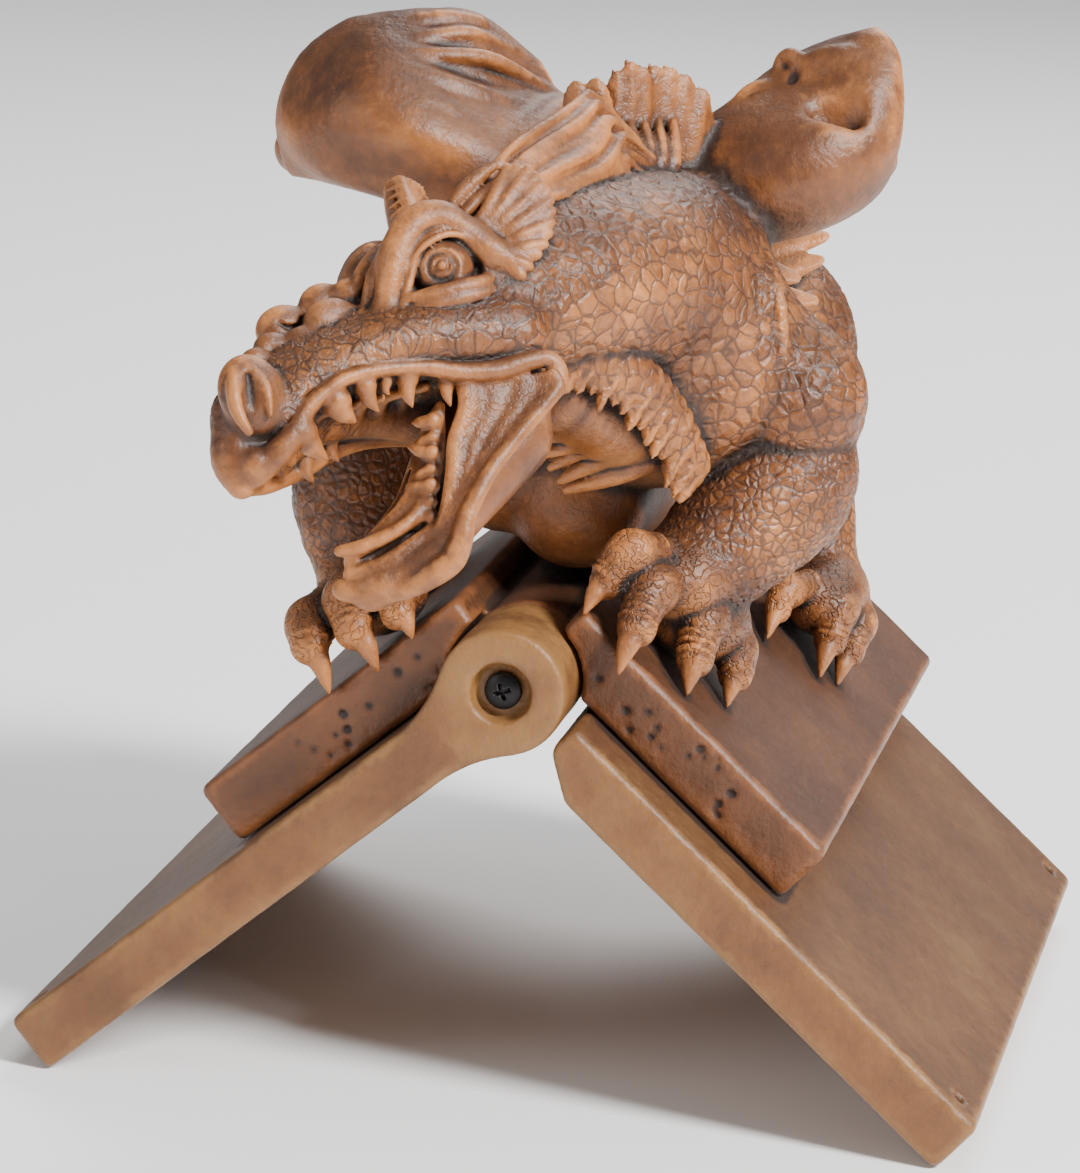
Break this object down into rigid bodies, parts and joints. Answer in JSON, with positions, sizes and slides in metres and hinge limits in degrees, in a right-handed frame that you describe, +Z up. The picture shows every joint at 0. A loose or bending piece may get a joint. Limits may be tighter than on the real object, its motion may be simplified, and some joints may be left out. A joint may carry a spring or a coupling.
{
  "type": "dragon roof sculpture",
  "caption": "Snarling winged dragon cast with a ridge saddle, over hinged leaves that fold to fit a pitched roof's ridge.",
  "frame": {"origin": "middle of the footprint, on the surface that the leaves' outer edges stand on", "axes": "+Z up, +Y along the hinge and the roof's ridge from front to back, +X to the right seen from the front; the dragon faces -Y"},
  "size_m": [0.3196, 0.3672, 0.3403],
  "materials": {
    "dark_copper_resin": "copper-brown patina with dark hollows and pale dust",
    "terracotta_resin": "dull terracotta with faint ochre stains",
    "black_steel": "blackened"
  },
  "bodies": {
    "dragon": {"dragon_and_saddle": "dark_copper_resin", "front_hinge_screw": "black_steel", "rear_hinge_screw": "black_steel"},
    "left_leaf_body": {"left_leaf": "terracotta_resin"},
    "right_leaf_body": {"right_leaf": "terracotta_resin"}
  },
  "joints": [
    {"name": "left_leaf_hinge", "type": "hinge", "parent": "dragon", "child": "left_leaf_body", "pos_m": [0, -0.07743, 0.14211], "axis": [0, -1, 0], "range_deg": [0, 22]},
    {"name": "right_leaf_hinge", "type": "hinge", "parent": "dragon", "child": "right_leaf_body", "pos_m": [0, 0.16357, 0.14211], "axis": [0, 1, 0], "range_deg": [0, 22]}
  ]
}
